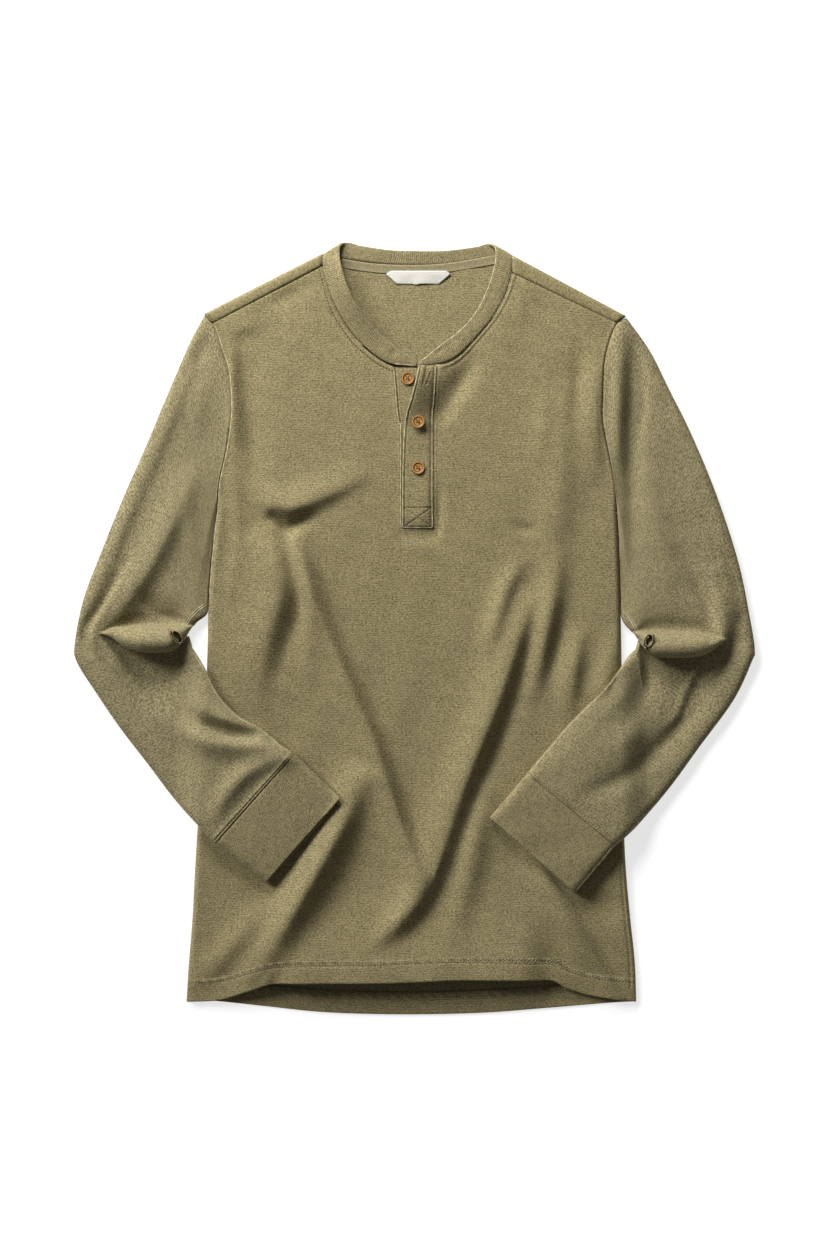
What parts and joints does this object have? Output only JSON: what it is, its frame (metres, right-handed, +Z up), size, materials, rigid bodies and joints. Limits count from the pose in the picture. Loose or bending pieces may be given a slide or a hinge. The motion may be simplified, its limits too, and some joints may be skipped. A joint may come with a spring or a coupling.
{
  "type": "henley shirt laid flat",
  "caption": "Long-sleeved knit henley shirt laid flat, front up, forearms folded over the front, with a buttoned half placket and a plain neckband.",
  "frame": {"origin": "under the middle of the laid shirt, on the surface it lies on", "axes": "+X towards the wearer's left, +Y from hem to neck, +Z up from the surface"},
  "size_m": [0.6478, 0.734, 0.0257],
  "materials": {
    "knit": "matt knit",
    "rib": "matt fine rib",
    "tape": "matt tape",
    "horn": "satin horn brown",
    "label": "satin woven, blank"
  },
  "bodies": {
    "root": {"front": "knit", "back": "knit", "sleeve_right": "knit", "sleeve_left": "knit", "cuff_right": "rib", "cuff_left": "rib", "neckband": "rib", "neck_tape": "tape", "placket_under": "knit", "placket_top": "knit", "button_1": "horn", "button_2": "horn", "button_3": "horn", "neck_label": "label"}
  },
  "joints": []
}
